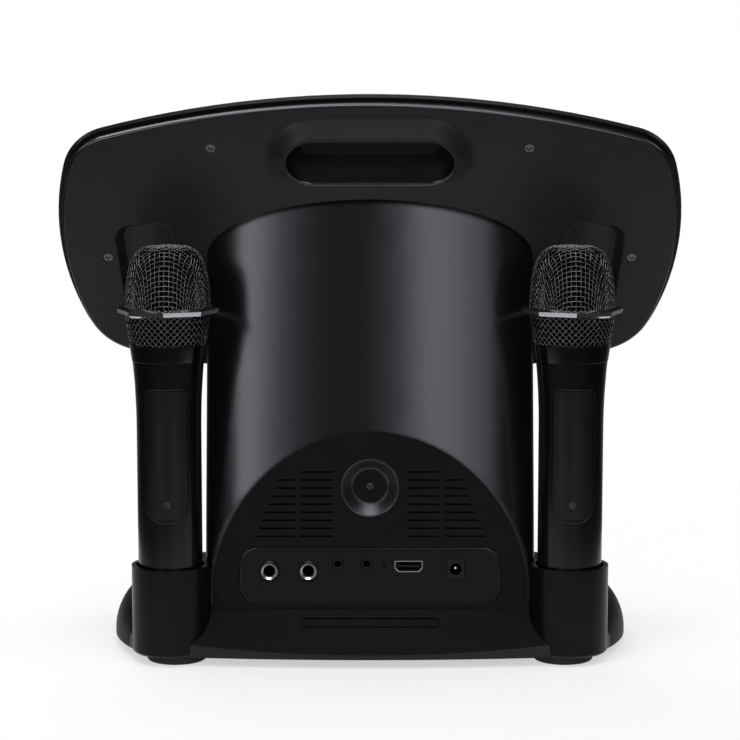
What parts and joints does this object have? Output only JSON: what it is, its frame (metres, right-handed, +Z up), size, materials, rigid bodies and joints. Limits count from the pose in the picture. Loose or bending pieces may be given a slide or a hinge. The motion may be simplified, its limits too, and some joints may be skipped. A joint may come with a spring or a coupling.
{
  "type": "karaoke machine",
  "caption": "Tabletop karaoke console with a leaning screen head on a rounded column, rear sockets, and wireless microphones standing in cups on its base.",
  "frame": {"origin": "on the table, under the middle of the console", "axes": "+Z up, the screen faces -Y and the sockets face +Y, +X across"},
  "size_m": [0.3342, 0.1573, 0.2977],
  "materials": {
    "matte_black": "fine matte moulding",
    "satin_black": "satin moulding",
    "panel_black": "smooth matte moulding",
    "cup_black": "satin moulding",
    "moulded_black": "plain moulding",
    "mic_black": "satin moulding with gloss sides",
    "gloss_black": "polished",
    "grille_black": "black coated wire",
    "black_glass": "polished black glass",
    "display_grey": "sheet can",
    "sheet_steel": "zinc plated sheet",
    "dark_steel": "black oxide",
    "chrome_ring": "bright plated",
    "dark_chrome": "dark bright plated",
    "circuit_green": "solder mask",
    "cone_paper": "black paper pulp",
    "rubber_black": "moulded rubber",
    "foam_black": "open cell foam",
    "cell_wrap": "shrink wrap"
  },
  "bodies": {
    "console": {"head_back_cover": "matte_black", "head_bezel": "satin_black", "touch_glass": "black_glass", "lcd_module": "display_grey", "head_frame": "sheet_steel", "head_board": "circuit_green", "head_screws": "dark_steel", "column_rear_shell": "satin_black", "column_screw": "dark_steel", "column_front_baffle": "matte_black", "speaker_grille": "grille_black", "woofer_basket": "sheet_steel", "woofer_magnet": "dark_steel", "woofer_surround": "rubber_black", "port_panel": "panel_black", "mic_jack_bushings": "chrome_ring", "mic_jack_bodies": "moulded_black", "line_jack_bushings": "moulded_black", "line_jack_bodies": "moulded_black", "hdmi_shell": "chrome_ring", "hdmi_tongue": "moulded_black", "dc_jack_housing": "moulded_black", "dc_jack_pin": "chrome_ring", "port_board": "circuit_green", "base_cover": "matte_black", "base_plate": "matte_black", "rubber_feet": "rubber_black", "base_screws": "dark_steel", "mic_cup_left": "cup_black", "mic_cup_right": "cup_black", "control_board": "circuit_green"},
    "mic_left": {"mic_left_body": "mic_black", "mic_left_battery_door": "mic_black", "mic_left_door_screw": "dark_steel", "mic_left_board": "circuit_green", "mic_left_battery": "cell_wrap", "mic_left_collar": "gloss_black", "mic_left_basket": "grille_black", "mic_left_capsule": "moulded_black", "mic_left_ring": "dark_chrome", "mic_left_grille": "grille_black", "mic_left_foam": "foam_black"},
    "mic_right": {"mic_right_body": "mic_black", "mic_right_battery_door": "mic_black", "mic_right_door_screw": "dark_steel", "mic_right_board": "circuit_green", "mic_right_battery": "cell_wrap", "mic_right_collar": "gloss_black", "mic_right_basket": "grille_black", "mic_right_capsule": "moulded_black", "mic_right_ring": "dark_chrome", "mic_right_grille": "grille_black", "mic_right_foam": "foam_black"},
    "mic_left_switch": {"mic_left_power_button": "gloss_black"},
    "mic_right_switch": {"mic_right_power_button": "gloss_black"},
    "woofer": {"woofer_cone": "cone_paper"},
    "reset": {"reset_button": "moulded_black"},
    "volume_down": {"volume_down_button": "gloss_black"},
    "power": {"power_button": "gloss_black"},
    "volume_up": {"volume_up_button": "gloss_black"}
  },
  "joints": [
    {"name": "mic_left_lift", "type": "slide", "parent": "console", "child": "mic_left", "axis": [0, 0, 1], "range_m": [0, 0.042]},
    {"name": "mic_left_press", "type": "slide", "parent": "mic_left", "child": "mic_left_switch", "axis": [0, 1, 0], "range_m": [0, 0.0008], "stiffness_N_per_m": 900},
    {"name": "mic_right_lift", "type": "slide", "parent": "console", "child": "mic_right", "axis": [0, 0, 1], "range_m": [0, 0.042]},
    {"name": "mic_right_press", "type": "slide", "parent": "mic_right", "child": "mic_right_switch", "axis": [0, 1, 0], "range_m": [0, 0.0008], "stiffness_N_per_m": 900},
    {"name": "woofer_travel", "type": "slide", "parent": "console", "child": "woofer", "axis": [0, -0.9735, 0.2287], "range_m": [-0.0015, 0.0015], "stiffness_N_per_m": 1500, "deforming": ["woofer_surround"]},
    {"name": "reset_press", "type": "slide", "parent": "console", "child": "reset", "axis": [0, -1, 0], "range_m": [0, 0.0005], "stiffness_N_per_m": 900},
    {"name": "volume_down_press", "type": "slide", "parent": "console", "child": "volume_down", "axis": [0, 0.7071, -0.7071], "range_m": [0, 0.0008], "stiffness_N_per_m": 900},
    {"name": "power_press", "type": "slide", "parent": "console", "child": "power", "axis": [0, 0.7071, -0.7071], "range_m": [0, 0.0008], "stiffness_N_per_m": 900},
    {"name": "volume_up_press", "type": "slide", "parent": "console", "child": "volume_up", "axis": [0, 0.7071, -0.7071], "range_m": [0, 0.0008], "stiffness_N_per_m": 900}
  ]
}
